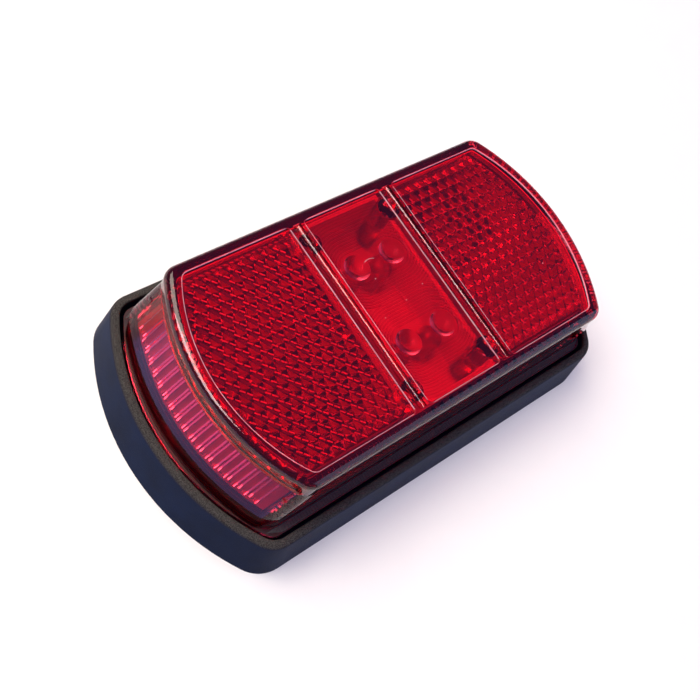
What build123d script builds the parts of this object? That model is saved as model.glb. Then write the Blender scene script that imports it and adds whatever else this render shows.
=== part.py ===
from build123d import *

import os
from math import ceil, sqrt

# Surface-mounted rear lamp: a one-piece red lens with two reflex fields and a lit window stands in
# a soft surround, over a rigid tray that holds the circuit board.
# X runs along the lamp, Y across it and Z out of the lens. The flat back lies on Z = 0.

# surround, the soft moulding round the tray
base_length = 108.0
base_width = 58.6
base_bow = 49.9
base_corner = 7.0
wall_draft = 1.8
lip_width = 1.6
lip_rise = 1.1
lip_outer_round = 1.2
lip_inner_round = 0.3
surround_floor = 1.6
ledge_width = 5.0
moat_width = 0.8
moat_depth = 3.4
seal_groove_width = 1.4
seal_groove_depth = 0.7
seal_groove_inset = 3.6

# tray, the rigid back of the lamp
tray_floor = 2.0
tray_wall = 2.2
tray_depth = 4.4
tray_fit = 0.06
pad_fit = 0.1
seat_groove_width = 1.1
seat_groove_depth = 0.8
seat_fit = 0.03
column_height = 6.6
column_radius = 3.2
rib_thickness = 1.4
rib_height = 2.2

# mounting, two captive nuts and their caps
nut_inset = 9.8
bolt_hole_radius = 2.75
nut_across_flats = 8.0
nut_thickness = 4.7
nut_bore_radius = 2.5
nut_fit = 0.1
boss_radius = 6.4
cap_height = 6.0
cap_wall = 1.6
cap_bore_radius = 3.2

# lens, one moulding
flange_thickness = 2.4
flange_end_step = 0.5
flange_side_step = 1.7
skirt_bow = 49.0
skirt_corner = 5.0
skirt_height = 8.0
slope_height = 6.0
slope_run = 4.5
side_draft = 0.2
panel_bow = 43.2
panel_corner = 3.3
step_height = 4.8
panel_edge_round = 1.5
lens_wall = 2.2
window_thickness = 2.2
inner_drop_share = 0.3
least_corner = 0.6

# round flutes inside the two end slopes
flute_count = 17
flute_pitch = 2.2
flute_radius = 1.0
flute_foot_share = 0.06
flute_top_share = 0.8

# panes, dividers and window optics
frame_width = 2.35
frame_side_width = 2.2
pane_bow = 38.0
pane_outer_corner = 1.8
pane_recess = 0.3
pane_corner = 1.5
window_width = 19.0
divider_width = 3.1
groove_width = 1.7
groove_depth = 0.7
groove_end_gap = 0.3
lamp_x_share = 0.463
lamp_y_share = 0.41
condenser_radius = 2.7
condenser_depth = 1.1
ring_count = 9
ring_first = 3.5
ring_pitch = 0.62
ring_width = 0.31
ring_depth = 0.2
window_rim = 1.5
ceiling_gap = 0.06

# reflex fields behind the outer panes
reflex_thickness = 2.0
prism_pitch = 2.6
prism_rim = 1.2
reflex_side_fit = 0.25
reflex_gap = 0.3
reflex_overlap = 0.7
cover_inset = 0.9
cover_depth = 2.6
cover_wall = 1.1
cover_floor = 1.0

# screws through the tray and board into the lens posts
screw_inset = 4.2
screw_offset = 0.4
screw_radius = 1.45
screw_fit = 0.05
screw_engagement = 6.0
screw_head_radius = 2.8
screw_head_height = 1.9
screw_head_depth = 2.4
post_radius = 2.3
driver_recess_radius = 1.2
driver_recess_depth = 1.0

# light box round the window
box_wall = 0.8
box_side_gap = 0.3
box_end_gap = 0.5
notch_fit = 0.4
box_floor = 1.0
lamp_hole_fit = 0.3

# circuit board and its components
board_end_gap = 0.6
board_side_gap = 2.2
board_thickness = 1.6
board_corner = 2.0
lamp_radius = 2.5
lamp_collar_radius = 2.9
lamp_collar_height = 1.0
lamp_body_height = 6.1
lead_size = 0.5
lead_pitch = 2.54
lead_tail = 1.2
lead_hole_fit = 0.1
solder_rim = 0.45
solder_height = 0.7
resistor_inset = 11.0
resistor_y = 7.4
resistor_length = 6.4
resistor_radius = 1.15
resistor_span = 10.2
resistor_lift = 0.4
capacitor_inset = 9.0
capacitor_y = 8.5
capacitor_radius = 4.0
capacitor_height = 7.0
capacitor_can_share = 0.93
capacitor_pitch = 3.5
rectifier_inset = 9.0
rectifier_y = -8.0
rectifier_length = 8.4
rectifier_width = 6.4
rectifier_height = 3.2
rectifier_leg_share = 0.35
tab_inset = 5.5
tab_spacing = 8.0
tab_width = 2.8
tab_thickness = 0.8
tab_length = 5.2

# cable inlet
inlet_inset = 11.0
inlet_radius = 4.0
inlet_fit = 0.05
inlet_flange_radius = 5.6
inlet_flange_height = 1.6
inlet_neck_radius = 3.2
inlet_neck_height = 1.8
inlet_bore_radius = 1.7

# cutting allowance
overrun = 1.0

# levels above the back
tray_floor_top = surround_floor + tray_floor
rim_top = tray_floor_top + tray_depth
flange_top = rim_top + flange_thickness
lip_top = flange_top + lip_rise
slope_foot = rim_top + skirt_height
slope_top = slope_foot + slope_height
lens_top = slope_top + step_height
ceiling = lens_top - pane_recess - window_thickness
board_bottom = tray_floor_top + column_height
board_top = board_bottom + board_thickness
inner_top = ceiling - ceiling_gap
reflex_back = inner_top - reflex_thickness

# outlines as half length, half width, bow radius, corner radius
base_outline = (base_length / 2, base_width / 2, base_bow, base_corner)
skirt_half_length = base_length / 2 - wall_draft - lip_width - moat_width - flange_end_step
skirt_half_width = base_width / 2 - wall_draft - lip_width - moat_width - flange_side_step
skirt_outline = (skirt_half_length, skirt_half_width, skirt_bow, skirt_corner)
panel_outline = (skirt_half_length - slope_run, skirt_half_width - side_draft, panel_bow, panel_corner)
pane_edge = window_width / 2 + divider_width


def inset(outline, depth):
    """Return the outline moved inwards by a depth, its corners kept above a least radius."""
    length, width, bow, corner = outline
    return (length - depth, width - depth, bow - depth, max(corner - depth, least_corner))


lip_outline = inset(base_outline, wall_draft)
lip_inner = inset(lip_outline, lip_width)
tray_outline = inset(lip_inner, moat_width)
tray_inner = inset(tray_outline, tray_wall)
pad_outline = inset(tray_outline, ledge_width)
pane_half_length = panel_outline[0] - frame_width
pane_half_width = panel_outline[1] - frame_side_width
pane_outline = (pane_half_length, pane_half_width, pane_bow, pane_outer_corner)

# places along and across the lamp
lamp_x = window_width / 2 * lamp_x_share
lamp_y = pane_half_width * lamp_y_share
screw_x = window_width / 2 + screw_offset
screw_y = pane_half_width - screw_inset
nut_x = tray_outline[0] - nut_inset
board_half_length = nut_x - boss_radius - board_end_gap
board_half_width = skirt_half_width - lens_wall - board_side_gap
resistor_x = board_half_length - resistor_inset
capacitor_x = capacitor_inset - board_half_length
rectifier_x = rectifier_inset - board_half_length
tab_x = board_half_length - tab_inset
inlet_x = board_half_length - inlet_inset


def barrel(outline):
    """Return the flat shape with two straight sides and two bowed ends."""
    length, width, bow, corner = outline
    corner_x = length - bow + sqrt(bow ** 2 - width ** 2)
    top = Line((-corner_x, width), (corner_x, width))
    right = ThreePointArc((corner_x, width), (length, 0), (corner_x, -width))
    bottom = Line((corner_x, -width), (-corner_x, -width))
    left = ThreePointArc((-corner_x, -width), (-length, 0), (-corner_x, width))
    shape = make_face(Curve() + [top, right, bottom, left])
    return fillet(shape.vertices(), corner)


def slab(outline, low, high):
    """Return a straight-walled block of an outline between two levels."""
    return Pos(0, 0, low) * extrude(barrel(outline), high - low)


def tapered(outline_low, outline_high, low, high):
    """Return a block whose outline changes evenly between two levels."""
    faces = [Pos(0, 0, low) * barrel(outline_low), Pos(0, 0, high) * barrel(outline_high)]
    return loft(faces, ruled=True)


def rod(x, y, low, high, radius):
    """Return an upright cylinder between two levels."""
    return Pos(x, y, low) * extrude(Circle(radius), high - low)


def block(x, y, low, high, length, width):
    """Return an upright rectangular bar between two levels."""
    return Pos(x, y, low) * extrude(Rectangle(length, width), high - low)


def four(x, y):
    """Return the four mirrored places of a point."""
    return [(sx * x, sy * y) for sx in (-1, 1) for sy in (-1, 1)]


def ring_of(outline, width, low, high):
    """Return a band that follows an outline, its outer face on that outline."""
    return slab(outline, low, high) - slab(inset(outline, width), low - overrun, high + overrun)


lamp_places = four(lamp_x, lamp_y)
screw_places = four(screw_x, screw_y)
nut_places = [(-nut_x, 0), (nut_x, 0)]


# Soft surround: drafted wall, rounded lip, moat round the lens, ledge under the tray
def make_surround():
    body = tapered(base_outline, lip_outline, 0, lip_top)
    rim = body.faces().sort_by(Axis.Z)[-1]
    body = fillet(rim.edges(), lip_outer_round)
    body -= slab(lip_inner, flange_top - moat_depth, lip_top + overrun)
    body -= slab(inset(tray_outline, -tray_fit), surround_floor, lip_top)
    body -= slab(inset(pad_outline, -pad_fit), -overrun, lip_top)
    groove_line = inset(base_outline, seal_groove_inset)
    body -= ring_of(groove_line, seal_groove_width, -overrun, seal_groove_depth)
    mouth = body.faces().sort_by(Axis.Z)[-1].inner_wires()[0]
    return fillet(mouth.edges(), lip_inner_round)


# Tray: floor with a raised pad through the surround, wall with a seal seat, columns and bosses
def make_tray():
    body = slab(pad_outline, 0, surround_floor) + slab(tray_outline, surround_floor, rim_top)
    body -= slab(tray_inner, tray_floor_top, rim_top + overrun)
    seat = inset(tray_outline, (tray_wall - seat_groove_width) / 2)
    body -= ring_of(seat, seat_groove_width, rim_top - seat_groove_depth, rim_top + overrun)
    span_x = nut_x - boss_radius / 2
    body += block(0, 0, surround_floor, tray_floor_top + rib_height, 2 * span_x, rib_thickness)
    for sign in (-1, 1):
        x = sign * screw_x
        body += block(x, 0, surround_floor, tray_floor_top + rib_height, rib_thickness, 2 * screw_y)
    for x, y in screw_places:
        body += rod(x, y, surround_floor, board_bottom, column_radius)
    for x, y in nut_places:
        body += rod(x, y, surround_floor, tray_floor_top + nut_thickness, boss_radius)
    for x, y in screw_places:
        body -= rod(x, y, -overrun, board_bottom + overrun, screw_radius + screw_fit)
        body -= rod(x, y, -overrun, screw_head_depth, screw_head_radius + screw_fit)
    pocket_radius = nut_across_flats / sqrt(3) + nut_fit
    for x, y in nut_places:
        body -= rod(x, y, -overrun, tray_floor_top + overrun, bolt_hole_radius)
        pocket = extrude(RegularPolygon(pocket_radius, 6), nut_thickness + overrun)
        body -= Pos(x, y, tray_floor_top) * pocket
    body -= rod(inlet_x, 0, tray_floor_top, rim_top + overrun, inlet_flange_radius + inlet_fit)
    body -= rod(inlet_x, 0, -overrun, rim_top + overrun, inlet_radius + inlet_fit)
    return body


# Seal: soft ring in the seat of the tray wall, under the lens flange
def make_seal():
    seat = inset(tray_outline, (tray_wall - seat_groove_width) / 2 + seat_fit)
    return ring_of(seat, seat_groove_width - 2 * seat_fit, rim_top - seat_groove_depth, rim_top)


# Lens body: flange, skirt, sloping ends, raised panel with a rounded edge
def lens_outside():
    body = slab(tray_outline, rim_top, flange_top)
    body += slab(skirt_outline, rim_top, slope_foot)
    body += tapered(skirt_outline, panel_outline, slope_foot, slope_top)
    panel = slab(panel_outline, slope_top, lens_top)
    top = panel.faces().sort_by(Axis.Z)[-1]
    return body + fillet(top.edges(), panel_edge_round)


# Hollow of the lens, parallel to the outside and a little lower on the slopes
def lens_inside():
    drop = lens_wall * inner_drop_share
    skirt = inset(skirt_outline, lens_wall)
    panel = inset(panel_outline, lens_wall)
    body = slab(skirt, rim_top - overrun, slope_foot - drop)
    body += tapered(skirt, panel, slope_foot - drop, slope_top - drop)
    return body + slab(panel, slope_top - drop, ceiling)


# Place of a bowed end at a distance from the middle line
def end_x(outline, y):
    return outline[0] - outline[2] + sqrt(outline[2] ** 2 - y ** 2)


# Round flutes side by side up the inside of one end slope
def slope_flutes():
    drop = lens_wall * inner_drop_share
    skirt = inset(skirt_outline, lens_wall)
    panel = inset(panel_outline, lens_wall)
    flutes = []
    for i in range(flute_count):
        y = (i - (flute_count - 1) / 2) * flute_pitch
        foot = Vector(end_x(skirt, y), y, slope_foot - drop)
        run = Vector(end_x(panel, y), y, slope_top - drop) - foot
        plane = Plane(foot + run * flute_foot_share, z_dir=run)
        length = run.length * (flute_top_share - flute_foot_share)
        flutes.append(extrude(plane * Circle(flute_radius), length))
    return flutes


# One outer pane: the panel outline cut off at the divider, with its inner corners rounded
def outer_pane(outline, edge, corner):
    half_length, half_width = outline[0], outline[1]
    keep = Pos(half_length, 0) * Rectangle(2 * (half_length - edge), 2 * half_width)
    shape = barrel(outline) & keep
    inner = shape.vertices().sort_by(Axis.X)[0:2]
    return fillet(inner, corner)


# Shallow recess of each of the three panes
def pane_cuts():
    floor = Pos(0, 0, lens_top - pane_recess)
    outer = floor * extrude(outer_pane(pane_outline, pane_edge, pane_corner), overrun)
    centre = floor * extrude(RectangleRounded(window_width, 2 * pane_outline[1], pane_corner), overrun)
    return [outer, mirror(outer, Plane.YZ), centre]


# Hollow groove with a round floor along each divider
def divider_grooves():
    radius = (groove_width ** 2 / 4 + groove_depth ** 2) / (2 * groove_depth)
    length = 2 * (pane_outline[1] - groove_end_gap)
    bar = Rotation(90, 0, 0) * Cylinder(radius, length)
    x = window_width / 2 + divider_width / 2
    z = lens_top - groove_depth + radius
    return [Pos(-x, 0, z) * bar, Pos(x, 0, z) * bar]


# Racetrack rings and round condensers moulded inside the window
def window_optics():
    reach = pane_outline[1] - window_rim
    rings = []
    for sign in (-1, 1):
        half = Pos(0, sign * reach / 2) * Rectangle(window_width - 2 * window_rim, reach)
        for i in range(ring_count):
            radius = ring_first + i * ring_pitch
            track = SlotCenterToCenter(2 * lamp_x, 2 * radius + ring_width)
            track -= SlotCenterToCenter(2 * lamp_x, 2 * radius - ring_width)
            band = (Pos(0, sign * lamp_y) * track) & half
            rings.append(Pos(0, 0, ceiling - ring_depth) * extrude(band, ring_depth))
    ball = (condenser_radius ** 2 + condenser_depth ** 2) / (2 * condenser_depth)
    cap = Pos(0, 0, ceiling - condenser_depth + ball) * Sphere(ball)
    cap &= Pos(0, 0, ceiling - condenser_depth) * extrude(Circle(condenser_radius), condenser_depth)
    return rings, [Pos(x, y, 0) * cap for x, y in lamp_places]


# Whole lens with its screw posts
def make_lens():
    body = lens_outside() - lens_inside()
    flutes = slope_flutes()
    body += flutes
    body += [mirror(flute, Plane.YZ) for flute in flutes]
    for cut in pane_cuts() + divider_grooves():
        body -= cut
    rings, caps = window_optics()
    for piece in rings + caps:
        body += piece
    for x, y in screw_places:
        body += rod(x, y, board_top, ceiling, post_radius)
    for x, y in screw_places:
        body -= rod(x, y, board_top - overrun, board_top + screw_engagement, screw_radius + screw_fit)
    return body


# Reflex field: plate against the inside of an outer pane, cut away round the screw posts
def reflex_shape(margin):
    outline = inset(panel_outline, lens_wall + reflex_side_fit + margin)
    shape = outer_pane(outline, pane_edge - reflex_overlap + margin, pane_corner)
    for y in (-screw_y, screw_y):
        shape -= Pos(screw_x, y) * Circle(post_radius + reflex_gap + margin)
    return shape


# One family of parallel V grooves, turned about the middle of a field of cube-corner prisms
def prism_grooves(middle, reach, turn):
    spacing = prism_pitch * sqrt(3) / 2
    depth = prism_pitch / sqrt(6)
    half_width = (depth + overrun) / sqrt(2)
    low = reflex_back - overrun
    section = make_face(Polyline((-half_width, low), (half_width, low), (0, reflex_back + depth), close=True))
    groove = extrude(Plane.XZ * section, reach, both=True)
    count = ceil(reach / spacing)
    place = Pos(middle, 0, 0) * Rotation(0, 0, turn)
    return [place * Pos(i * spacing, 0, 0) * groove for i in range(-count, count + 1)]


# Reflex plate: plain rim round a field of cube-corner prisms that point away from the lens
def reflex_plate():
    edge = Pos(0, 0, reflex_back) * extrude(reflex_shape(0), reflex_thickness)
    field = Pos(0, 0, reflex_back) * extrude(reflex_shape(prism_rim), reflex_thickness)
    edge -= field
    box = field.bounding_box()
    reach = box.size.Y / 2 + box.size.X / 2
    for turn in (90, 30, 150):
        field -= prism_grooves(box.center().X, reach, turn)
    return edge + field


# Cover that keeps the air gap behind the reflex field dry
def reflex_cover():
    low = reflex_back - cover_depth
    shell = Pos(0, 0, low) * extrude(reflex_shape(cover_inset), cover_depth)
    hollow = reflex_shape(cover_inset + cover_wall)
    return shell - Pos(0, 0, low + cover_floor) * extrude(hollow, cover_depth)


# Light box: pale walls and floor round the lamps, notched round the screw posts
def make_light_box():
    length = window_width - 2 * box_side_gap
    width = 2 * (pane_outline[1] - box_end_gap)
    body = block(0, 0, board_top, inner_top, length, width)
    inner_length = length - 2 * box_wall
    inner_width = width - 2 * box_wall
    body -= block(0, 0, board_top + box_floor, inner_top + overrun, inner_length, inner_width)
    for x, y in screw_places:
        body -= rod(x, y, board_top - overrun, inner_top + overrun, post_radius + notch_fit)
    for x, y in lamp_places:
        hole_radius = lamp_collar_radius + lamp_hole_fit
        body -= rod(x, y, board_top - overrun, board_top + box_floor + overrun, hole_radius)
    return body


# Places where component wires pass through the board
def wire_places():
    places = []
    for x, y in lamp_places:
        places += [(x - lead_pitch / 2, y), (x + lead_pitch / 2, y)]
    for y in (-resistor_y, resistor_y):
        places += [(resistor_x, y - resistor_span / 2), (resistor_x, y + resistor_span / 2)]
    for x in (-capacitor_pitch / 2, capacitor_pitch / 2):
        places.append((capacitor_x + x, capacitor_y))
    leg_x = rectifier_length * rectifier_leg_share
    leg_y = rectifier_width * rectifier_leg_share
    places += [(rectifier_x + x, rectifier_y + y) for x, y in four(leg_x, leg_y)]
    return places


# Board: rounded plate drilled for the screws and the component wires
def make_board():
    sheet = RectangleRounded(2 * board_half_length, 2 * board_half_width, board_corner)
    body = Pos(0, 0, board_bottom) * extrude(sheet, board_thickness)
    for x, y in screw_places:
        body -= rod(x, y, board_bottom - overrun, board_top + overrun, screw_radius + screw_fit)
    hole = lead_size + 2 * lead_hole_fit
    for x, y in wire_places():
        body -= block(x, y, board_bottom - overrun, board_top + overrun, hole, hole)
    for y in (-tab_spacing / 2, tab_spacing / 2):
        slot_x = tab_thickness + 2 * lead_hole_fit
        slot_y = tab_width + 2 * lead_hole_fit
        body -= block(tab_x, y, board_bottom - overrun, board_top + overrun, slot_x, slot_y)
    return body


# Lamps: collar, body and dome of each light-emitting diode
def make_lamps():
    lamps = []
    for x, y in lamp_places:
        collar = rod(x, y, board_top, board_top + lamp_collar_height, lamp_collar_radius)
        shoulder = board_top + lamp_body_height
        body = collar + rod(x, y, board_top, shoulder, lamp_radius)
        lamps.append(body + Pos(x, y, shoulder) * Sphere(lamp_radius))
    return lamps


# Square leads under each lamp
def make_lamp_leads():
    leads = []
    for x, y in lamp_places:
        for sign in (-1, 1):
            place = x + sign * lead_pitch / 2
            leads.append(block(place, y, board_bottom - lead_tail, board_top, lead_size, lead_size))
    return leads


# Resistors lie across the board
def make_resistors():
    bodies = []
    for y in (-resistor_y, resistor_y):
        z = board_top + resistor_lift + resistor_radius
        bodies.append(Pos(resistor_x, y, z) * Rotation(90, 0, 0) * Cylinder(resistor_radius, resistor_length))
    return bodies


# Bent square lead on both ends of each resistor
def make_resistor_wires():
    wires = []
    z = board_top + resistor_lift + resistor_radius
    for y in (-resistor_y, resistor_y):
        for sign in (-1, 1):
            end = y + sign * resistor_span / 2
            start = y + sign * resistor_length / 2
            top = z + lead_size / 2
            drop = block(resistor_x, end, board_bottom - lead_tail, top, lead_size, lead_size)
            length = abs(end - start)
            bar = block(resistor_x, (start + end) / 2, top - lead_size, top, lead_size, length)
            wires.append(drop + bar)
    return wires


# Smoothing capacitor: can on a bung
def make_capacitor():
    foot = board_top + capacitor_height * (1 - capacitor_can_share)
    return rod(capacitor_x, capacitor_y, foot, board_top + capacitor_height, capacitor_radius)


def make_capacitor_bung():
    foot = board_top + capacitor_height * (1 - capacitor_can_share)
    return rod(capacitor_x, capacitor_y, board_top, foot, capacitor_radius * capacitor_can_share)


# Bridge rectifier body
def make_rectifier():
    low = board_top
    return block(rectifier_x, rectifier_y, low, low + rectifier_height, rectifier_length, rectifier_width)


# Square legs under the capacitor and the rectifier
def make_component_legs():
    places = wire_places()[2 * len(lamp_places) + 4:]
    return [block(x, y, board_bottom - lead_tail, board_top, lead_size, lead_size) for x, y in places]


# Solder joints under the board round each wire, leg and tab
def make_solder():
    joints = []
    low = board_bottom - solder_height
    for x, y in wire_places():
        joint = Pos(x, y, low) * extrude(RegularPolygon(lead_size / 2 + solder_rim, 8), solder_height)
        joints.append(joint - block(x, y, low - overrun, board_bottom + overrun, lead_size, lead_size))
    for y in (-tab_spacing / 2, tab_spacing / 2):
        length = tab_thickness + 2 * solder_rim
        joint = block(tab_x, y, low, board_bottom, length, tab_width + 2 * solder_rim)
        joint -= block(tab_x, y, low - overrun, board_bottom + overrun, tab_thickness, tab_width)
        joints.append(joint)
    return joints


# Solder tabs that the two cores of the lead join
def make_tabs():
    tabs = []
    for y in (-tab_spacing / 2, tab_spacing / 2):
        shank = block(tab_x, y, board_top - tab_length, board_top, tab_thickness, tab_width)
        head = block(tab_x, y, board_top, board_top + tab_thickness, 2 * tab_thickness, tab_width)
        tabs.append(shank + head)
    return tabs


# Cable inlet: soft bush with a flange inside the tray
def make_inlet():
    body = rod(inlet_x, 0, 0, tray_floor_top, inlet_radius)
    body += rod(inlet_x, 0, tray_floor_top, tray_floor_top + inlet_flange_height, inlet_flange_radius)
    neck_foot = tray_floor_top + inlet_flange_height
    body += rod(inlet_x, 0, neck_foot, neck_foot + inlet_neck_height, inlet_neck_radius)
    return body - rod(inlet_x, 0, -overrun, neck_foot + inlet_neck_height + overrun, inlet_bore_radius)


# Captive nuts for the mounting bolts
def make_nuts():
    nut = extrude(RegularPolygon(nut_across_flats / sqrt(3), 6), nut_thickness)
    nut -= extrude(Circle(nut_bore_radius), nut_thickness)
    return [Pos(x, y, tray_floor_top) * nut for x, y in nut_places]


# Caps that close the nut bosses and clear the bolt ends
def make_caps():
    low = tray_floor_top + nut_thickness
    caps = []
    for x, y in nut_places:
        cap = rod(x, y, low, low + cap_height, boss_radius)
        caps.append(cap - rod(x, y, low - overrun, low + cap_height - cap_wall, cap_bore_radius))
    return caps


# Screws from the back, with a driver recess in each head
def make_screws():
    screws = []
    for x, y in screw_places:
        head_low = screw_head_depth - screw_head_height
        head = rod(x, y, head_low, screw_head_depth, screw_head_radius)
        head -= rod(x, y, head_low - overrun, head_low + driver_recess_depth, driver_recess_radius)
        shank = rod(x, y, screw_head_depth, board_top + screw_engagement - screw_radius, screw_radius)
        screws.append(head + shank)
    return screws


def save(shape, name):
    """Write one node, a single solid or a group of equal ones."""
    if isinstance(shape, list):
        shape = Compound(children=[piece.solid() for piece in shape])
    export_step(shape, "parts/" + name + ".step")


os.makedirs("parts", exist_ok=True)
save(make_surround(), "surround")
save(make_tray(), "tray")
save(make_seal(), "lens_seal")
save(make_lens(), "lens")
save(reflex_plate(), "reflex_right")
save(mirror(reflex_plate(), Plane.YZ), "reflex_left")
save(reflex_cover(), "reflex_cover_right")
save(mirror(reflex_cover(), Plane.YZ), "reflex_cover_left")
save(make_light_box(), "light_box")
save(make_board(), "board")
save(make_lamps(), "lamps")
save(make_lamp_leads(), "lamp_leads")
save(make_resistors(), "resistors")
save(make_resistor_wires(), "resistor_wires")
save(make_capacitor(), "capacitor_can")
save(make_capacitor_bung(), "capacitor_bung")
save(make_rectifier(), "rectifier")
save(make_component_legs(), "component_legs")
save(make_tabs(), "solder_tabs")
save(make_solder(), "solder_joints")
save(make_inlet(), "cable_inlet")
save(make_nuts(), "mounting_nuts")
save(make_caps(), "nut_caps")
save(make_screws(), "lens_screws")
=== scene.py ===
from math import radians

import bpy
import numpy as np
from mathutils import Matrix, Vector


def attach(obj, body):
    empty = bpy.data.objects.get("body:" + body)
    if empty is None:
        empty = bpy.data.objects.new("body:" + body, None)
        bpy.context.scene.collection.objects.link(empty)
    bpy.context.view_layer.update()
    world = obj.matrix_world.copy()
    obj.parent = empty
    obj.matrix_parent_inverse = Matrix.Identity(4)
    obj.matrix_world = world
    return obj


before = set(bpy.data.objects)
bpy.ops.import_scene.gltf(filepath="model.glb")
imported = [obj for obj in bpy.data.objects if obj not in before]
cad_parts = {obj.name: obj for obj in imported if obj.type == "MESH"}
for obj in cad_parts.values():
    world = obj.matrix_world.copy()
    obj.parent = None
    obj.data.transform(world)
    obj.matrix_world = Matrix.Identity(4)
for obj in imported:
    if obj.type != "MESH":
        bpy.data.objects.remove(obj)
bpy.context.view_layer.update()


# Camera. The light is photographed lying on its back, close up, from above its left end,
# so the near end looms and the far end falls away.

camera_place = (-0.107161, -0.037792, 0.174948)
camera_turn = (24.1208, -21.1151, -37.0244)

photo_lens = bpy.data.cameras.new("photo_camera")
photo_lens.sensor_width = 36.0
photo_lens.lens = 50.693
photo_lens.shift_x = -0.036586
photo_lens.shift_y = 0.073979
photo_lens.clip_start = 0.005
photo_camera = bpy.data.objects.new("photo_camera", photo_lens)
photo_camera.location = camera_place
photo_camera.rotation_euler = [radians(angle) for angle in camera_turn]
bpy.context.scene.collection.objects.link(photo_camera)
bpy.context.scene.camera = photo_camera
bpy.context.scene.view_settings.view_transform = "Standard"


# Floor. A pale matt sheet under the light, white to the eye, that keeps the light's soft shadow.
# It is part of the studio and not of the light.

floor_half = 3.0
floor_colour = (0.68, 0.66, 0.60, 1)
floor_lift = 0.25
fibre_scale = 900.0
fibre_share = 0.04


def node(tree, kind, inputs=None, **settings):
    """Put a shader node in a tree. Each input is a constant or the output of another node."""
    made = tree.nodes.new("ShaderNode" + kind)
    for name, value in settings.items():
        setattr(made, name, value)
    for key, value in (inputs or {}).items():
        if isinstance(value, bpy.types.NodeSocket):
            tree.links.new(value, made.inputs[key])
        else:
            made.inputs[key].default_value = value
    return made


def combine(tree, operation, first, second=0.0, third=0.0):
    """Combine two or three numbers with one Math operation and return the result's socket."""
    return node(tree, "Math", {0: first, 1: second, 2: third}, operation=operation).outputs[0]


def finish_of(name, **sockets):
    """Start a material with plain values on its Principled shader, and return it with that shader."""
    made = bpy.data.materials.new(name)
    made.use_nodes = True
    shader = made.node_tree.nodes["Principled BSDF"]
    for key, value in sockets.items():
        shader.inputs[key.replace("_", " ")].default_value = value
    return made, shader


floor_sheet = bpy.data.meshes.new("floor_sheet")
corners = [(-floor_half, -floor_half, 0), (floor_half, -floor_half, 0),
           (floor_half, floor_half, 0), (-floor_half, floor_half, 0)]
floor_sheet.from_pydata(corners, [], [(0, 1, 2, 3)])
floor_piece = bpy.data.objects.new("floor_sheet", floor_sheet)
bpy.context.scene.collection.objects.link(floor_piece)
floor_finish, shader = finish_of("floor_paper", Roughness=0.8, Emission_Color=(1, 1, 1, 1))
tree = floor_finish.node_tree
fibres = node(tree, "TexNoise", {"Scale": fibre_scale, "Detail": 3.0})
tone = node(tree, "MixRGB", {"Fac": fibre_share, "Color1": floor_colour, "Color2": fibres.outputs["Fac"]},
            blend_type="MULTIPLY")
tree.links.new(tone.outputs[0], shader.inputs["Base Color"])
rays = node(tree, "LightPath").outputs
seen = combine(tree, "MAXIMUM", rays["Is Camera Ray"], rays["Is Glossy Ray"])
seen = combine(tree, "MAXIMUM", seen, rays["Is Transmission Ray"])
tree.links.new(combine(tree, "MULTIPLY", seen, floor_lift), shader.inputs["Emission Strength"])
floor_sheet.materials.append(floor_finish)


# Room and lamps. A dim room with a blue horizon and a violet ceiling. Two soft panels hang high, one
# on the left and one on the far side, and draw the bright lines on the lens. A broad pale blue sheet
# stands on the near side, and a low blue strip on the left.

horizon_colour = (0.45, 0.56, 1.0, 1)
middle_colour = (0.10, 0.11, 0.17, 1)
middle_height = 0.13
ceiling_colour = (0.20, 0.07, 0.30, 1)
ceiling_height = 0.75

room = bpy.data.worlds.new("room")
bpy.context.scene.world = room
room.use_nodes = True
tree = room.node_tree
direction = node(tree, "TexCoord")
height = node(tree, "SeparateXYZ", {0: direction.outputs["Generated"]})
wash = node(tree, "ValToRGB", {0: height.outputs[2]})
wash.color_ramp.elements[0].position = 0.0
wash.color_ramp.elements[0].color = horizon_colour
wash.color_ramp.elements[1].position = ceiling_height
wash.color_ramp.elements[1].color = ceiling_colour
wash.color_ramp.elements.new(middle_height).color = middle_colour
tree.links.new(wash.outputs[0], tree.nodes["Background"].inputs["Color"])


def soft_panel(name, place, size, power, colour):
    """Hang one rectangular soft panel that faces the light on the floor, its first side level."""
    lamp = bpy.data.lights.new(name, "AREA")
    lamp.shape = "RECTANGLE"
    lamp.size, lamp.size_y = size
    lamp.energy = power
    lamp.color = colour
    hung = bpy.data.objects.new(name, lamp)
    hung.location = place
    hung.rotation_euler = (-Vector(place)).to_track_quat("-Z", "Y").to_euler()
    bpy.context.scene.collection.objects.link(hung)


soft_panel("high_panel", place=(-0.42, 0.27, 0.72), size=(0.50, 0.36), power=6.4, colour=(1.0, 0.98, 0.94))
soft_panel("far_panel", place=(-0.10, 0.52, 0.82), size=(0.55, 0.55), power=6.2, colour=(1.0, 0.90, 0.76))
soft_panel("near_sheet", place=(0.55, -0.70, 0.40), size=(1.2, 1.2), power=6.0, colour=(0.52, 0.66, 1.0))
soft_panel("low_strip", place=(-0.95, 0.05, 0.08), size=(2.1, 0.20), power=1.6, colour=(0.38, 0.36, 1.0))


# Soft surround. A moulded black rubber ring with a drafted wall and a raised lip, pushed over the
# tray. The wall is smooth, black with a painted blue sheen, and the lip is matt, grainy and a little brown.

mm = 0.001
per_metre = 1000.0
# The wall's colour is black rubber with a painted blue sheen mixed in.
wall_black_and_sheen = (0.003, 0.010, 0.034, 1)
wall_shades = (0.75, 1.2)
wall_roughness = 0.5
lip_colour = (0.050, 0.046, 0.040, 1)
lip_shades = (0.25, 1.7)
lip_roughness = 0.8
lip_levels = (10.3 * mm, 11.2 * mm)
grain_range = (0.35, 0.7)
mottle_range = (0.3, 0.7)

# A relief is a strength and a depth.
lip_relief = (0.5, 0.06 * mm)


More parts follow.
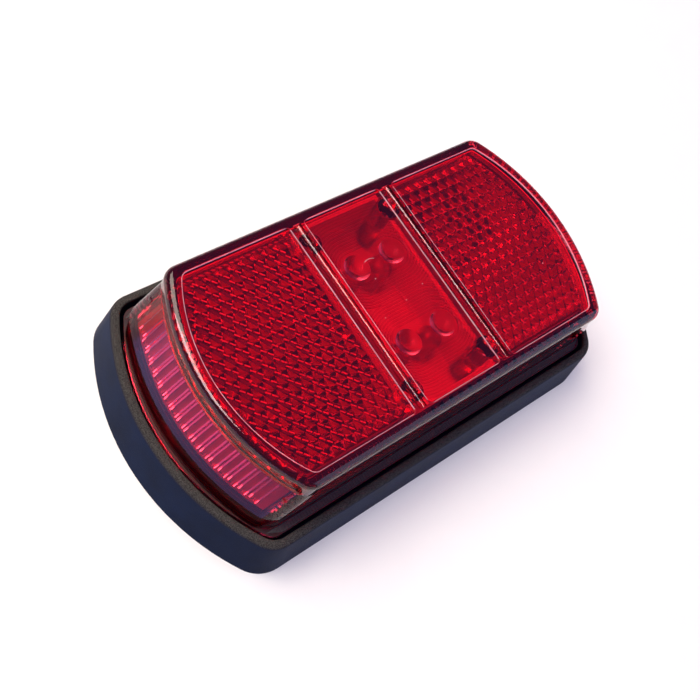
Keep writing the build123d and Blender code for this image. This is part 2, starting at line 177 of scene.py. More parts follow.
def effect(name, inputs, outputs):
    """Start a shader node group with named number inputs and outputs."""
    made = bpy.data.node_groups.new(name, "ShaderNodeTree")
    for label, value in inputs:
        made.interface.new_socket(label, in_out="INPUT", socket_type="NodeSocketFloat").default_value = value
    for label in outputs:
        made.interface.new_socket(label, in_out="OUTPUT", socket_type="NodeSocketFloat")
    return made, made.nodes.new("NodeGroupInput"), made.nodes.new("NodeGroupOutput")


moulded_grain, given, out = effect("moulded_grain", [("Size", 0.3), ("Mottle", 8.0)], ["Grain", "Mottle"])
place = node(moulded_grain, "TexCoord").outputs["Object"]
fine = combine(moulded_grain, "DIVIDE", per_metre, given.outputs["Size"])
pits = node(moulded_grain, "TexNoise", {"Vector": place, "Scale": fine, "Detail": 4.0, "Roughness": 0.65})
broad = combine(moulded_grain, "DIVIDE", per_metre, given.outputs["Mottle"])
cloud = node(moulded_grain, "TexNoise", {"Vector": place, "Scale": broad, "Detail": 3.0})
moulded_grain.links.new(pits.outputs["Fac"], out.inputs["Grain"])
moulded_grain.links.new(cloud.outputs["Fac"], out.inputs["Mottle"])


def group_in(tree, group, **values):
    """Place a shared effect in a material's tree with this material's own values."""
    made = tree.nodes.new("ShaderNodeGroup")
    made.node_tree = group
    for label, value in values.items():
        made.inputs[label].default_value = value
    return made


def axes_of(tree):
    """Return the sockets of the object coordinates x, y and z, in metres."""
    return node(tree, "SeparateXYZ", {0: node(tree, "TexCoord").outputs["Object"]}).outputs


def mix_colour(tree, factor, first, second):
    """Blend two colours by a factor and return the result's socket."""
    return node(tree, "MixRGB", {"Fac": factor, "Color1": first, "Color2": second}).outputs[0]


def spread(tree, value, source, target):
    """Map a number from one range to another, held at both ends, and return the result's socket."""
    ends = {1: source[0], 2: source[1], 3: target[0], 4: target[1]}
    return node(tree, "MapRange", {0: value, **ends}).outputs[0]


def scaled(tree, colour, factor):
    """Multiply a constant colour by a number and return the result's socket."""
    return node(tree, "VectorMath", {0: colour[:3], "Scale": factor}, operation="SCALE").outputs[0]


def level_mask(tree, low, high):
    """Return a mask that rises smoothly from 0 to 1 between two levels."""
    return node(tree, "MapRange", {0: axes_of(tree)[2], 1: low, 2: high},
                interpolation_type="SMOOTHSTEP").outputs[0]


def emboss(tree, shader, height, strength, depth):
    """Raise a height of 0 to 1 as relief on a shader's normal."""
    relief = node(tree, "Bump", {"Strength": strength, "Distance": depth, "Height": height})
    tree.links.new(relief.outputs[0], shader.inputs["Normal"])


def refinish(name, finish):
    """Give a CAD node its finish in every material slot."""
    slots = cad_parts[name].data.materials
    slots.clear()
    slots.append(finish)


rubber, shader = finish_of("surround_rubber", Specular_IOR_Level=0.04)
tree = rubber.node_tree
grain = group_in(tree, moulded_grain, Size=0.22, Mottle=6.0)
on_lip = level_mask(tree, *lip_levels)
lip_tone = scaled(tree, lip_colour, spread(tree, grain.outputs["Grain"], grain_range, lip_shades))
# Painted sheen: the wall's black carries a blue sheen in its colour.
wall_sheen_tone = scaled(tree, wall_black_and_sheen, spread(tree, grain.outputs["Mottle"], mottle_range, wall_shades))
tree.links.new(mix_colour(tree, on_lip, wall_sheen_tone, lip_tone), shader.inputs["Base Color"])
dull = spread(tree, on_lip, (0.0, 1.0), (wall_roughness, lip_roughness))
tree.links.new(dull, shader.inputs["Roughness"])
emboss(tree, shader, grain.outputs["Grain"], *lip_relief)
refinish("surround", rubber)


# Lens. One clear red acrylic moulding with a raised panel, end slopes fluted inside, and rings
# round each pair of lamps. It stands on its flange and is held by four screws from behind.

acrylic_index = 1.49
lens_clearness = 0.985
lens_red = (1.0, 0.045, 0.085, 1)
clear_shades = (0.97, 1.0)
smear_range = (0.45, 0.75)

# Fine leaning ribs on the inner face of the long walls, in millimetres. Here and below, a face, level,
# row or span is its middle and its reach to either side.
rib_pitch = 1.3
rib_lean = 0.9
rib_face = (21.2, 0.6)
rib_top = 20.6
rib_end = 41.0
rib_relief = (0.8, 0.3 * mm)

# Frosted inner face of the window, and the ribbed foot of the flange.
window_frost = 0.22
window_half = (9.4, 20.9)
window_level = (24.0, 1.3)
foot_frost = 0.6
foot_level = (10.4, 0.12)

# Racetrack rings round each pair of lamps. Each pair's middle line is straight for a length to either
# side and lies an offset from the middle of the light.
ring_straight = 4.4
ring_offset = 8.61
ring_first = 3.5
ring_pitch = 0.62
ring_edge = (0.02, 0.16)
ring_margin = 0.3
ring_share = 0.4
# Painted shade: the rings show as darker red lines, mixed into the lens's colour by a share.
ring_shade_red = (0.42, 0.01, 0.03, 1)

# Painted shadows of notches: dark cells in a row along the near rim of the panel.
rim_cell_pitch = 1.22
rim_cell_half = 0.5
rim_cell_row = (-21.95, 0.4)
rim_cell_level = 26.2
rim_cell_span = (14.0, 24.0)
rim_notch_shadow_red = (0.02, 0.004, 0.008, 1)


def axes_in_mm(tree):
    """Return the sockets of the object coordinates x, y and z, in millimetres."""
    return [combine(tree, "MULTIPLY", axis, per_metre) for axis in axes_of(tree)]


def all_of(tree, *masks):
    """Multiply a value by masks of 0 or 1, so that it stays only where all of them hold."""
    result = masks[0]
    for mask in masks[1:]:
        result = combine(tree, "MULTIPLY", result, mask)
    return result


wall_flutes, given, out = effect("wall_flutes", [("Pitch", rib_pitch), ("Lean", rib_lean)], ["Height"])
x, y, z = axes_in_mm(wall_flutes)
run = combine(wall_flutes, "MULTIPLY_ADD", z, given.outputs["Lean"], x)
half_pitch = combine(wall_flutes, "MULTIPLY", given.outputs["Pitch"], 0.5)
wave = combine(wall_flutes, "PINGPONG", run, half_pitch)
on_face = combine(wall_flutes, "COMPARE", combine(wall_flutes, "ABSOLUTE", y), *rib_face)
below = combine(wall_flutes, "LESS_THAN", z, rib_top)
between = combine(wall_flutes, "LESS_THAN", combine(wall_flutes, "ABSOLUTE", x), rib_end)
wall_flutes.links.new(all_of(wall_flutes, wave, on_face, below, between), out.inputs["Height"])

lens_marks, given, out = effect("lens_marks", [("Pitch", ring_pitch), ("First", ring_first)],
                                ["Frost", "Foot", "Rings", "Notch_Shadows"])
x, y, z = axes_in_mm(lens_marks)
far = combine(lens_marks, "ABSOLUTE", x)
wide = combine(lens_marks, "ABSOLUTE", y)
frost = all_of(lens_marks, combine(lens_marks, "COMPARE", z, *window_level),
               combine(lens_marks, "LESS_THAN", far, window_half[0]),
               combine(lens_marks, "LESS_THAN", wide, window_half[1]))
lens_marks.links.new(frost, out.inputs["Frost"])
lens_marks.links.new(combine(lens_marks, "COMPARE", z, *foot_level), out.inputs["Foot"])
past_straight = combine(lens_marks, "MAXIMUM", combine(lens_marks, "SUBTRACT", far, ring_straight), 0.0)
from_middle = combine(lens_marks, "SUBTRACT", wide, ring_offset)
gap = node(lens_marks, "CombineXYZ", {0: past_straight, 1: from_middle}).outputs[0]
gap = node(lens_marks, "VectorMath", {0: gap}, operation="LENGTH").outputs["Value"]
gap = combine(lens_marks, "SUBTRACT", gap, given.outputs["First"])
half_pitch = combine(lens_marks, "MULTIPLY", given.outputs["Pitch"], 0.5)
ring = spread(lens_marks, combine(lens_marks, "PINGPONG", gap, half_pitch), ring_edge, (1.0, 0.0))
outside = combine(lens_marks, "GREATER_THAN", gap, -ring_margin)
lens_marks.links.new(all_of(lens_marks, ring, outside, frost), out.inputs["Rings"])
from_cell = combine(lens_marks, "PINGPONG", x, rim_cell_pitch)
notch_shadow_mask = all_of(lens_marks, combine(lens_marks, "LESS_THAN", from_cell, rim_cell_half),
               combine(lens_marks, "COMPARE", y, *rim_cell_row),
               combine(lens_marks, "GREATER_THAN", z, rim_cell_level),
               combine(lens_marks, "COMPARE", x, *rim_cell_span))
lens_marks.links.new(notch_shadow_mask, out.inputs["Notch_Shadows"])

handling, given, out = effect("handling", [("Size", 12.0), ("Least", 0.02), ("Most", 0.07)], ["Roughness"])
place = node(handling, "TexCoord").outputs["Object"]
broad = combine(handling, "DIVIDE", per_metre, given.outputs["Size"])
smears = node(handling, "TexNoise", {"Vector": place, "Scale": broad, "Detail": 5.0, "Distortion": 1.2})
dull = spread(handling, smears.outputs["Fac"], smear_range, (given.outputs["Least"], given.outputs["Most"]))
handling.links.new(dull, out.inputs["Roughness"])

red_lens, shader = finish_of("lens_acrylic", IOR=acrylic_index, Transmission_Weight=lens_clearness)
tree = red_lens.node_tree
emboss(tree, shader, group_in(tree, wall_flutes).outputs["Height"], *rib_relief)
marks = group_in(tree, lens_marks)
dull = group_in(tree, handling, Size=14.0, Least=0.015, Most=0.04).outputs["Roughness"]
for mask, frosted in (("Frost", window_frost), ("Foot", foot_frost)):
    dull = node(tree, "Mix", {0: marks.outputs[mask], 2: dull, 3: frosted}).outputs[0]
tree.links.new(dull, shader.inputs["Roughness"])
grain = group_in(tree, moulded_grain, Size=0.6, Mottle=9.0)
tone = scaled(tree, lens_red, spread(tree, grain.outputs["Mottle"], mottle_range, clear_shades))
# Painted shade along the rings.
tone = mix_colour(tree, combine(tree, "MULTIPLY", marks.outputs["Rings"], ring_share), tone, ring_shade_red)
# Painted shadow in the notch cells along the near rim.
tone = mix_colour(tree, marks.outputs["Notch_Shadows"], tone, rim_notch_shadow_red)
tree.links.new(tone, shader.inputs["Base Color"])
refinish("lens", red_lens)


# Reflex plates and covers. Behind each outer pane a clear red plate of cube-corner prisms throws
# light back, and a red tray-shaped cover welded behind it keeps its air gap dry.

plate_red = (1.0, 0.72, 0.76, 1)
cover_red = (1.0, 0.012, 0.030, 1)
cover_shades = (0.8, 1.0)
cover_range = (0.35, 0.65)

reflex_acrylic, shader = finish_of("reflex_acrylic", IOR=acrylic_index, Transmission_Weight=1.0)
tree = reflex_acrylic.node_tree
grain = group_in(tree, moulded_grain, Size=0.4, Mottle=5.0)
tone = scaled(tree, plate_red, spread(tree, grain.outputs["Mottle"], mottle_range, clear_shades))
tree.links.new(tone, shader.inputs["Base Color"])
touch = group_in(tree, handling, Size=6.0, Least=0.01, Most=0.04)
tree.links.new(touch.outputs["Roughness"], shader.inputs["Roughness"])
refinish("reflex_left", reflex_acrylic)
refinish("reflex_right", reflex_acrylic)

cover_plastic, shader = finish_of("cover_plastic", Roughness=0.35)
tree = cover_plastic.node_tree
grain = group_in(tree, moulded_grain, Size=0.5, Mottle=3.5)
tone = scaled(tree, cover_red, spread(tree, grain.outputs["Mottle"], cover_range, cover_shades))
tree.links.new(tone, shader.inputs["Base Color"])
refinish("reflex_cover_left", cover_plastic)
refinish("reflex_cover_right", cover_plastic)


# Flashes of the left plate. Each prism's rounded edge draws a short bright line in two parts, painted
# as a highlight: a pale pink bar on the plate's face, in the hair of air under the lens.

field_edge = 13.2
field_end = 41.4
field_bow = 39.8
field_half_width = 19.9
lattice_reach = 30
ridge_share = 0.5
flash_column, flash_row = 2.52, 2.313
flash_starts = ((-24.31, 18.57), (-23.39, 17.53))
flash_direction = (0.664, -0.748)
flash_reach = 0.56
flash_width = 0.31
flash_margin = 0.3
flash_levels = (24.25, 24.285)


def lattice_sites(start, column, row, side, margin):
    """Sites of a lattice through one site, where every other row is shifted by half a column.

    A site is kept where it lies on the plate by a margin: past the plate's straight edge, within its
    half width, and short of its bowed end, whose place is the length less the bow's sagitta.
    """
    steps = np.arange(-lattice_reach, lattice_reach + 1)
    rows, columns = np.meshgrid(steps, steps, indexing="ij")
    x = start[0] + (columns + 0.5 * (rows % 2)) * column
    y = start[1] - rows * row
    end = field_end - field_bow + np.sqrt(np.maximum(field_bow ** 2 - y ** 2, 0))
    kept = (side * x > field_edge + margin) & (side * x < end - margin)
    kept &= np.abs(y) < field_half_width - margin
    return np.stack([x[kept], y[kept]], 1)


def bars(starts, ends, widths, low, high):
    """Lay a small roof-shaped bar between each pair of points, all from one eight-point pattern.

    At both ends four corners stand square to the bar, half its width away at the foot and a share of
    that at the ridge.
    """
    along = ends - starts
    length = np.linalg.norm(along, axis=1)[:, None]
    side = np.stack([-along[:, 1], along[:, 0]], 1) / length * widths[:, None] / 2
    level = np.ones((len(starts), 1))
    section = ((1, low), (-1, low), (-ridge_share, high), (ridge_share, high))
    corners = [np.hstack([point + side * share, level * height])
               for point in (starts, ends) for share, height in section]
    points = np.stack(corners, axis=1).reshape(-1, 3)
    pattern = np.array([(0, 1, 2, 3), (7, 6, 5, 4), (0, 4, 5, 1), (1, 5, 6, 2), (2, 6, 7, 3), (3, 7, 4, 0)])
    faces = (pattern[None] + 8 * np.arange(len(starts))[:, None, None]).reshape(-1, 4)
    return points, faces


def piece_from(name, points, faces, finish):
    """Make an object of a point array in millimetres and a face array, riding with the light."""
    mesh = bpy.data.meshes.new(name)
    mesh.from_pydata((points * mm).tolist(), [], faces.tolist())
    mesh.materials.append(finish)
    made = bpy.data.objects.new(name, mesh)
    bpy.context.scene.collection.objects.link(made)
    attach(made, "root")
    return made


def mottled(name, dark, light, size, mottle, by="Mottle", **sockets):
    """Start a finish that drifts between two colours, and return it with its shader and its grain."""
    made, shader = finish_of(name, **sockets)
    tree = made.node_tree
    grain = group_in(tree, moulded_grain, Size=size, Mottle=mottle)
    tree.links.new(mix_colour(tree, grain.outputs[by], dark, light), shader.inputs["Base Color"])
    return made, shader, grain


# Painted highlight: pale pink bars stand for the prisms' glints.
glint_paint_finish = mottled("painted_edge_glint", dark=(1.0, 0.45, 0.50, 1), light=(1.0, 0.75, 0.78, 1),
                       size=0.4, mottle=7.0, Roughness=0.3)[0]
slant = np.array(flash_direction) * flash_reach
sites = np.concatenate([lattice_sites(start, flash_column, flash_row, -1, flash_margin)
                        for start in flash_starts])
points, faces = bars(sites - slant, sites + slant, np.full(len(sites), flash_width), *flash_levels)
left_flashes = piece_from("reflex_flashes_left", points, faces, glint_paint_finish)


# Sparks of the right plate. Seen from the far end the same prisms flash only at their points, as
# small stars of three short rays that fade towards the bowed end, painted as highlights in pale pink bars.

spark_column, spark_row = 2.556, 2.31
spark_start = (19.6, -0.18)
spark_margin = 0.4
spark_turns = (100, 215, 335)
spark_reach = (0.80, 0.55, 0.55)
spark_width = (0.42, 0.28, 0.28)
spark_tail = 0.35
spark_fade = (30.0, 40.0)
fade_across = 0.6
fade_least = 0.25

sites = lattice_sites(spark_start, spark_column, spark_row, 1, spark_margin)
distance = np.hypot(sites[:, 0], fade_across * sites[:, 1])
strength = np.clip((spark_fade[1] - distance) / (spark_fade[1] - spark_fade[0]), fade_least, 1)
starts, ends, widths = [], [], []
for turn, reach, width in zip(spark_turns, spark_reach, spark_width):
    ray = np.array([np.cos(radians(turn)), np.sin(radians(turn))]) * reach
    starts.append(sites - ray * spark_tail * strength[:, None])
    ends.append(sites + ray * strength[:, None])
    widths.append(width * strength)
points, faces = bars(np.concatenate(starts), np.concatenate(ends), np.concatenate(widths), *flash_levels)
right_sparks = piece_from("reflex_sparks_right", points, faces, glint_paint_finish)


# Dark cells. A few prisms of the right plate look black through the lens, and that darkness is painted
# as shade: each is a thin six-sided chip on the plate's face, placed in steps of the lattice.

cell_steps = np.array([
    (5.84, -6.31), (4.73, -6.24), (4.81, -5.47), (3.78, -5.36), (5.61, -5.28), (5.69, -4.22), (4.68, -4.25),
    (3.65, -4.15), (4.72, -3.35), (3.69, -3.26), (2.57, -4.09), (2.60, -3.21), (4.60, -2.41), (3.63, -2.28),
    (2.71, -2.28), (3.77, -1.47), (2.68, -1.43), (1.60, -1.11), (-0.38, -0.24), (-1.25, -0.25)])
cell_radius = 0.66
cell_turn = 30
cell_levels = (24.246, 24.262)

# Painted shade: near-black chips where the prisms look dark.
painted_cell_shade = mottled("painted_cell_shade", dark=(0.004, 0.002, 0.003, 1), light=(0.05, 0.006, 0.012, 1),
                    size=0.3, mottle=2.0, Roughness=0.7)[0]
middles = np.stack([spark_start[0] + cell_steps[:, 0] * spark_column + cell_steps[:, 1] * spark_column / 2,
                    spark_start[1] - cell_steps[:, 1] * spark_row], 1)
turn = np.radians(np.arange(6) * 60 + cell_turn)
corners = np.stack([np.cos(turn), np.sin(turn)], 1) * cell_radius
flat = (middles[:, None, :] + corners[None]).reshape(-1, 2)
points = np.concatenate([np.hstack([flat, np.full((len(flat), 1), level)]) for level in cell_levels])
first = np.arange(6)
after = (first + 1) % 6
walls = np.stack([first, after, after + 6, first + 6], 1)
pattern = np.concatenate([[(6, 7, 8, 9), (6, 9, 10, 11), (5, 4, 3, 2), (5, 2, 1, 0)], walls])
pattern = np.where(pattern < 6, pattern, pattern - 6 + len(flat))
faces = (pattern[None] + 6 * np.arange(len(middles))[:, None, None]).reshape(-1, 4)
dark_cells = piece_from("dark_cells", points, faces, painted_cell_shade)


# Slope liners. A thin sheet of pale plastic lies close behind the flutes of each end slope, and the
# flutes show it as pink bars. A line here is a half length, a bow's radius and a level.

slope_top_line = (42.6, 41.0, 21.34)
slope_foot_line = (47.1, 46.8, 15.34)
slope_normal = (0.8, 0.6)
liner_depth = 1.15
liner_thickness = 0.3
liner_shares = (-0.14, 0.86)
liner_half_width = 20.0
liner_grid = (9, 39)


def bowed_end(half_length, bow, across):
    """Place of a bowed end at a distance from the middle: half length less the bow's sagitta."""
    return half_length - bow + np.sqrt(bow ** 2 - across ** 2)


def closed_sheet(front, back):
    """Join two equal grids of points, an outer and an inner one, into one closed skin with a rim.

    Four neighbours of a grid make a face, turned over on the inner grid, and each step along the
    border makes a face with the same step on the other grid.
    """
    rows, columns = front.shape[:2]
    count = rows * columns
    order = np.arange(count).reshape(rows, columns)
    faces = np.stack([order[:-1, :-1], order[:-1, 1:], order[1:, 1:], order[1:, :-1]], 2).reshape(-1, 4)
    rim = np.concatenate([order[0, :-1], order[:-1, -1], order[-1, :0:-1], order[:0:-1, 0]])
    after = np.roll(rim, -1)
    sides = np.stack([after, rim, rim + count, after + count], 1)
    points = np.concatenate([front.reshape(-1, 3), back.reshape(-1, 3)])
    return points, np.concatenate([faces, faces[:, ::-1] + count, sides])


liner_plastic = mottled("slope_liner", dark=(0.25, 0.19, 0.22, 1), light=(0.38, 0.30, 0.34, 1),
                        size=0.3, mottle=3.0, Roughness=0.6)[0]
across = np.linspace(-liner_half_width, liner_half_width, liner_grid[1])
share = np.linspace(*liner_shares, liner_grid[0])[:, None]
foot = bowed_end(slope_foot_line[0], slope_foot_line[1], across)
top = bowed_end(slope_top_line[0], slope_top_line[1], across)
reach = foot + (top - foot) * share
level = slope_foot_line[2] + (slope_top_line[2] - slope_foot_line[2]) * share
for sign, side in ((-1, "left"), (1, "right")):
    skins = [np.stack([sign * (reach - slope_normal[0] * depth), across + 0 * share,
                       level - slope_normal[1] * depth + 0 * across], 2)
             for depth in (liner_depth, liner_depth + liner_thickness)]
    points, faces = closed_sheet(*skins)
    liner = piece_from("slope_liner_" + side, points, faces if sign > 0 else faces[:, ::-1], liner_plastic)


# Wall liners. Behind each long wall the moulding is lined with fine leaning ribs that show deep red
# through it. Each liner is one thin sheet, ribbed on its outer face and flat on its back.

wall_liner_reach = 40.0
wall_liner_levels = (12.3, 19.4)
wall_liner_face = 21.08
wall_liner_back = 0.32
wall_liner_rib = 0.2
wall_liner_grid = (12, 370)


def ribs(run, pitch, depth):
    """Depth of a row of V-shaped ribs: twice the distance to the nearest pitch line, times the depth."""
    phase = run / pitch
    return depth * 2 * np.abs(phase - np.round(phase))


wall_plastic = mottled("wall_liner", dark=(0.30, 0.02, 0.04, 1), light=(0.75, 0.10, 0.14, 1),
                       size=0.3, mottle=4.0, Roughness=0.45)[0]
along = np.linspace(-wall_liner_reach, wall_liner_reach, wall_liner_grid[1])
level = np.linspace(*wall_liner_levels, wall_liner_grid[0])[:, None]
wave = ribs(along + rib_lean * level, rib_pitch, wall_liner_rib)
for sign, side in ((-1, "near"), (1, "far")):
    skins = [np.stack([along + 0 * level, sign * (wall_liner_face - back), level + 0 * along], 2)
             for back in (wave, 0 * wave + wall_liner_back)]
    points, faces = closed_sheet(*skins)
    liner = piece_from("wall_liner_" + side, points, faces if sign < 0 else faces[:, ::-1], wall_plastic)


# Foot strips. Along each long side the lens's flange has a fine ribbed face, brown-grey, that shows
# between the red wall and the soft lip. It narrows at both ends.

foot_reach = 43.0
foot_taper = 3.0
foot_tip = 0.05
foot_across = (23.55, 24.95)
foot_levels = (10.41, 10.47)
foot_pitch = 0.62
foot_rib = 0.07
foot_grid = (5, 569)

foot_strip_grey = mottled("foot_strip_grey", dark=(0.022, 0.017, 0.015, 1), light=(0.085, 0.068, 0.060, 1),
                    size=0.25, mottle=3.0, by="Grain", Roughness=0.75)[0]
along = np.linspace(-foot_reach, foot_reach, foot_grid[1])
taper = np.clip((foot_reach - np.abs(along)) / foot_taper, foot_tip, 1)
share = np.linspace(0, 1, foot_grid[0])[:, None]
across = foot_across[0] + (foot_across[1] - foot_across[0]) * taper * share
wave = ribs(along, foot_pitch, foot_rib)
for sign, side in ((-1, "near"), (1, "far")):
    skins = [np.stack([along + 0 * across, sign * across, level + 0 * across], 2)
             for level in (foot_levels[1] + wave, foot_levels[0] + 0 * wave)]
    points, faces = closed_sheet(*skins)
    strip = piece_from("foot_strip_" + side, points, faces if sign > 0 else faces[:, ::-1], foot_strip_grey)


# Pane beads. A hair-thin pale pink bead runs round the foot of each sunk pane, a painted highlight
# for the bright line along the pane's edge. It follows the pane's outline, a little inside it.

bead_width = 0.14
bead_levels = (26.515, 26.72)
bead_inset = 0.13
bead_corner = 0.7
pane_start = 12.6
pane_end = 42.45
pane_half_width = 21.0
pane_bow = 38.0
pane_corner = 1.8
window_end = 9.5
corner_steps = 6
wide_corner_steps = 8
bow_steps = 60


def arc_points(middle, radius, start, end, steps):
    """Points on a circle between two angles in degrees: the middle plus the radius in each direction."""
    turn = np.radians(np.linspace(start, end, steps))
    return np.stack([middle[0] + radius * np.cos(turn), middle[1] + radius * np.sin(turn)], 1)


def bead(outline, width, low, high):
    """Carry a small roof-shaped section round a closed outline of points.

    At each point it stands square to the line between the two neighbours, half its width away at the
    foot and a share of that at the ridge.
    """
    along = np.roll(outline, -1, 0) - np.roll(outline, 1, 0)
    side = np.stack([along[:, 1], -along[:, 0]], 1) / np.linalg.norm(along, axis=1)[:, None] * width / 2
    level = np.ones((len(outline), 1))
    section = ((1, low), (ridge_share, high), (-ridge_share, high), (-1, low))
    corners = [np.hstack([outline + side * share, level * height]) for share, height in section]
    points = np.stack(corners, 1).reshape(-1, 3)
    first = np.arange(len(outline))[:, None] * 4 + np.arange(4)[None, :]
    after = np.roll(first, -1, 0)
    faces = np.stack([first, after, np.roll(after, -1, 1), np.roll(first, -1, 1)], 2).reshape(-1, 4)
    return points, faces


# Painted highlight: a pale pink bead for the bright line along each pane's edge.
bead_highlight_finish = mottled("pane_bead_highlight", dark=(0.55, 0.10, 0.16, 1), light=(0.95, 0.60, 0.62, 1),
                      size=0.5, mottle=6.0, Roughness=0.25)[0]
width = pane_half_width - bead_inset
bow = pane_bow - bead_inset
middle = pane_end - bead_inset - bow
knee = middle + np.sqrt((bow - pane_corner) ** 2 - (width - pane_corner) ** 2)
turn = np.degrees(np.arctan2(width - pane_corner, knee - middle))
start = pane_start + bead_inset + bead_corner
low_corner = width - bead_corner
pane = np.concatenate([
    arc_points((start, -low_corner), bead_corner, 180, 270, corner_steps),
    arc_points((knee, pane_corner - width), pane_corner, -90, -turn, wide_corner_steps),
    arc_points((middle, 0), bow, -turn, turn, bow_steps)[1:-1],
    arc_points((knee, width - pane_corner), pane_corner, turn, 90, wide_corner_steps),
    arc_points((start, low_corner), bead_corner, 90, 180, corner_steps)])
across = window_end - bead_inset - bead_corner
window = np.concatenate([
    arc_points((end * across, side * low_corner), bead_corner, turn, turn + 90, corner_steps)
    for end, side, turn in ((1, 1, 0), (-1, 1, 90), (-1, -1, 180), (1, -1, 270))])
for name, outline in (("pane_bead_right", pane), ("pane_bead_left", -pane), ("pane_bead_window", window)):
    points, faces = bead(outline, bead_width, *bead_levels)
    piece_from(name, points, faces, bead_highlight_finish)


# Marks of use. A few pale dust specks lie on the lens and one short curved scratch crosses the
# window. Each speck is one small bar, and the scratch is a chain of them.

speck_places = np.array([(-3.3, 4.75), (-0.3, -1.6), (-6.5, -2.8),
                         (4.95, -0.25), (-38.2, 17.3), (33.0, -8.0)])
speck_lean = np.array([0.085, 0.0425])
speck_width = 0.17
scratch_middle = (-2.1, 6.4)
scratch_radius = 2.4
scratch_turns = (60, 118)
scratch_steps = 10
scratch_width = 0.09
mark_levels = (26.505, 26.56)

chalk = mottled("dust_mark", dark=(0.45, 0.20, 0.22, 1), light=(0.85, 0.62, 0.62, 1),
                size=0.1, mottle=0.6, by="Grain", Roughness=0.7)[0]
curve = arc_points(scratch_middle, scratch_radius, *scratch_turns, scratch_steps)
starts = np.concatenate([speck_places - speck_lean, curve[:-1]])
ends = np.concatenate([speck_places + speck_lean, curve[1:]])
widths = np.repeat([speck_width, scratch_width], [len(speck_places), len(curve) - 1])
points, faces = bars(starts, ends, widths, *mark_levels)
piece_from("marks_of_use", points, faces, chalk)


# Window. A moulded white box with a light grain stands on the board and opens under the lens. In it
# stand four round lamps cast in clear red resin, two and two, soldered to the board.

box_relief = (0.3, 0.03 * mm)

pale_box, shader, grain = mottled("light_box_plastic", dark=(0.96, 0.93, 0.90, 1),
                                  light=(0.99, 0.96, 0.94, 1), size=0.35, mottle=4.0, Roughness=0.35)
emboss(pale_box.node_tree, shader, grain.outputs["Grain"], *box_relief)
refinish("light_box", pale_box)

lamp_resin, shader = mottled("lamp_resin", dark=(0.85, 0.10, 0.10, 1), light=(1.0, 0.22, 0.20, 1),
                             size=0.3, mottle=1.5, IOR=1.53, Transmission_Weight=0.55)[:2]
tree = lamp_resin.node_tree
touch = group_in(tree, handling, Size=2.0, Least=0.04, Most=0.12)
tree.links.new(touch.outputs["Roughness"], shader.inputs["Roughness"])
refinish("lamps", lamp_resin)


# Tray. The rigid black back of the light, moulded in one piece with its columns and bosses. Its
# fine grain is dulled by handling.

grain_depth = 0.04 * mm
smears_over_mottle = 2.5


def moulded(name, dark, light, size, mottle, dull, relief, **sockets):
    """Make a mottled finish with a raised grain and a roughness that drifts with handling."""
    made, shader, grain = mottled(name, dark, light, size, mottle, **sockets)
    tree = made.node_tree
    touch = group_in(tree, handling, Size=smears_over_mottle * mottle, Least=dull[0], Most=dull[1])
    tree.links.new(touch.outputs["Roughness"], shader.inputs["Roughness"])
    emboss(tree, shader, grain.outputs["Grain"], relief, grain_depth)
    return made


refinish("tray", moulded("tray_plastic", dark=(0.010, 0.010, 0.012, 1), light=(0.030, 0.030, 0.032, 1),
                         size=0.25, mottle=7.0, dull=(0.42, 0.62), relief=0.5))


# Seal between tray and lens. A grey silicone cord in the groove of the tray's wall, squeezed flat
# by the lens's flange.

refinish("lens_seal", moulded("seal_silicone", dark=(0.10, 0.10, 0.10, 1), light=(0.19, 0.18, 0.17, 1),
                              size=0.5, mottle=3.0, dull=(0.5, 0.7), relief=0.3))


# Cable inlet. A soft black rubber bush pressed into the tray from behind, whose bore grips a
# two-core cable.

refinish("cable_inlet", moulded("inlet_rubber", dark=(0.012, 0.012, 0.012, 1), light=(0.040, 0.037, 0.034, 1),
                                size=0.2, mottle=2.0, dull=(0.6, 0.85), relief=0.7))


# Nut caps. Two moulded black caps, welded over the captive nuts inside the tray to keep the inside
# dry.

refinish("nut_caps", moulded("cap_plastic", dark=(0.014, 0.014, 0.016, 1), light=(0.040, 0.040, 0.044, 1),
                             size=0.3, mottle=4.0, dull=(0.3, 0.5), relief=0.3))


# Mounting nuts and lens screws. Steel with a bright zinc plating that has a faint blue and yellow
# cast. The nuts are held captive in the tray and the screws are driven from the back.

plated = moulded("zinc_plating", dark=(0.50, 0.52, 0.56, 1), light=(0.74, 0.72, 0.64, 1),
                 size=0.12, mottle=1.6, dull=(0.22, 0.45), relief=0.4, Metallic=1.0)
refinish("mounting_nuts", plated)
refinish("lens_screws", plated)


# Circuit board. A glass-fibre board with a white solder mask over fine tracks, resting on the
# tray's columns. The bare laminate shows at its sawn edges.

mask_white = (0.86, 0.86, 0.83, 1)
track_tone = (0.55, 0.48, 0.34, 1)
laminate_tone = (0.50, 0.46, 0.26, 1)
track_pitch = 1.9
track_half = 0.16
track_share = 0.35
edge_slope = 0.5


def principled(finish):
    """Return a finish's tree and its Principled shader."""
    return finish.node_tree, finish.node_tree.nodes["Principled BSDF"]


board = moulded("board_mask", dark=(0.72, 0.72, 0.69, 1), light=mask_white,
                size=0.15, mottle=5.0, dull=(0.3, 0.45), relief=0.1)
tree, shader = principled(board)
rows = combine(tree, "PINGPONG", axes_in_mm(tree)[1], track_pitch / 2)
track = combine(tree, "MULTIPLY", combine(tree, "LESS_THAN", rows, track_half), track_share)
tone = mix_colour(tree, track, mask_white, track_tone)
upright = node(tree, "SeparateXYZ", {0: node(tree, "NewGeometry").outputs["Normal"]}).outputs[2]
sawn = combine(tree, "LESS_THAN", combine(tree, "ABSOLUTE", upright), edge_slope)
tree.links.new(mix_colour(tree, sawn, tone, laminate_tone), shader.inputs["Base Color"])
refinish("board", board)


# Resistors. Two pale ceramic bodies, each dipped in lacquer and painted with four coloured rings, lie
# across the board on their bent wires.

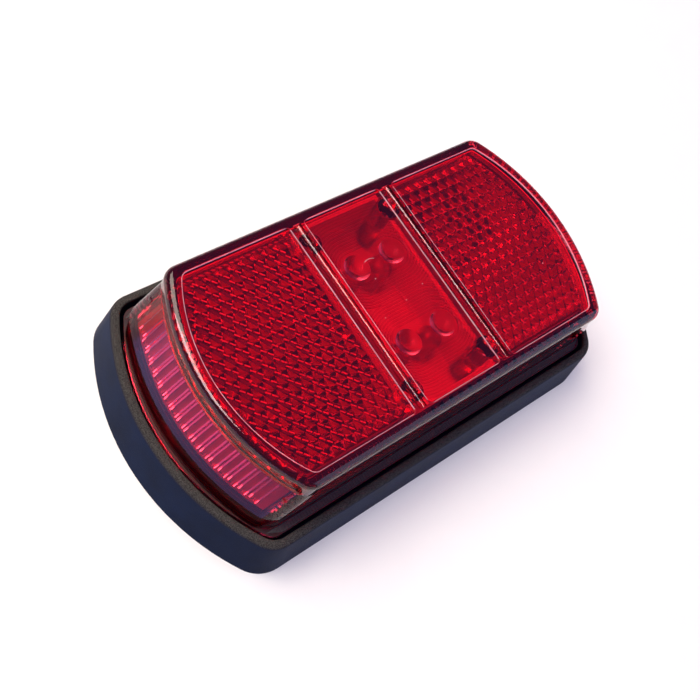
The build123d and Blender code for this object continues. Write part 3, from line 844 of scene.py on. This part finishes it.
lacquer_tone = (0.70, 0.58, 0.40, 1)
band_half = 0.3
bands = ((5.4, (0.30, 0.02, 0.02, 1)), (6.5, (0.45, 0.20, 0.02, 1)),
         (7.6, (0.10, 0.04, 0.02, 1)), (9.3, (0.55, 0.40, 0.10, 1)))

ceramic = moulded("resistor_ceramic", dark=(0.62, 0.50, 0.34, 1), light=(0.74, 0.62, 0.44, 1),
                  size=0.2, mottle=2.0, dull=(0.3, 0.5), relief=0.3)
tree, shader = principled(ceramic)
along = combine(tree, "ABSOLUTE", axes_in_mm(tree)[1])
tone = lacquer_tone
for band_place, band_colour in bands:
    tone = mix_colour(tree, combine(tree, "COMPARE", along, band_place, band_half), tone, band_colour)
tree.links.new(tone, shader.inputs["Base Color"])
refinish("resistors", ceramic)


# Wires, legs and tabs. Square copper wires and legs and stamped brass tabs, all under a dull tin
# coat. They go through the board and are soldered under it.

tinned = moulded("tinned_wire", dark=(0.50, 0.50, 0.49, 1), light=(0.68, 0.67, 0.65, 1),
                 size=0.1, mottle=0.8, dull=(0.3, 0.5), relief=0.5, Metallic=1.0)
for name in ("lamp_leads", "resistor_wires", "component_legs", "solder_tabs"):
    refinish(name, tinned)


# Solder joints. Small grey fillets of solder round every wire under the board, brighter where the
# solder flowed.

refinish("solder_joints", moulded("solder_alloy", dark=(0.42, 0.42, 0.43, 1), light=(0.66, 0.66, 0.66, 1),
                                  size=0.15, mottle=0.6, dull=(0.25, 0.55), relief=0.8, Metallic=1.0))


# Capacitor. A drawn aluminium can in a dark blue shrunk sleeve with a pale stripe, closed by a
# rubber bung that its legs pass through. The can's end is bare.

can_middle = (-24.0, 8.5)
stripe_half = 1.0
stripe_tone = (0.50, 0.52, 0.56, 1)
sleeve_tone = (0.014, 0.022, 0.075, 1)
bare_tone = (0.78, 0.78, 0.78, 1)
sleeve_levels = (18.2 * mm, 18.4 * mm)

can = moulded("can_sleeve", dark=(0.010, 0.016, 0.060, 1), light=(0.020, 0.030, 0.095, 1),
              size=0.2, mottle=3.0, dull=(0.25, 0.4), relief=0.1)
tree, shader = principled(can)
x, y = axes_in_mm(tree)[:2]
stripe = all_of(tree, combine(tree, "COMPARE", y, can_middle[1], stripe_half),
                combine(tree, "LESS_THAN", x, can_middle[0]))
tone = mix_colour(tree, stripe, sleeve_tone, stripe_tone)
bare = level_mask(tree, *sleeve_levels)
tree.links.new(mix_colour(tree, bare, tone, bare_tone), shader.inputs["Base Color"])
tree.links.new(bare, shader.inputs["Metallic"])
refinish("capacitor_can", can)
bung = moulded("bung_rubber", dark=(0.015, 0.015, 0.015, 1), light=(0.035, 0.034, 0.033, 1),
               size=0.2, mottle=1.5, dull=(0.6, 0.8), relief=0.5)
refinish("capacitor_bung", bung)


# Rectifier. A round-cornered block of black epoxy, moulded round its diodes, with a fine matt
# skin.

epoxy = moulded("rectifier_epoxy", dark=(0.012, 0.012, 0.013, 1), light=(0.032, 0.031, 0.030, 1),
                size=0.1, mottle=1.8, dull=(0.45, 0.65), relief=0.7)
refinish("rectifier", epoxy)
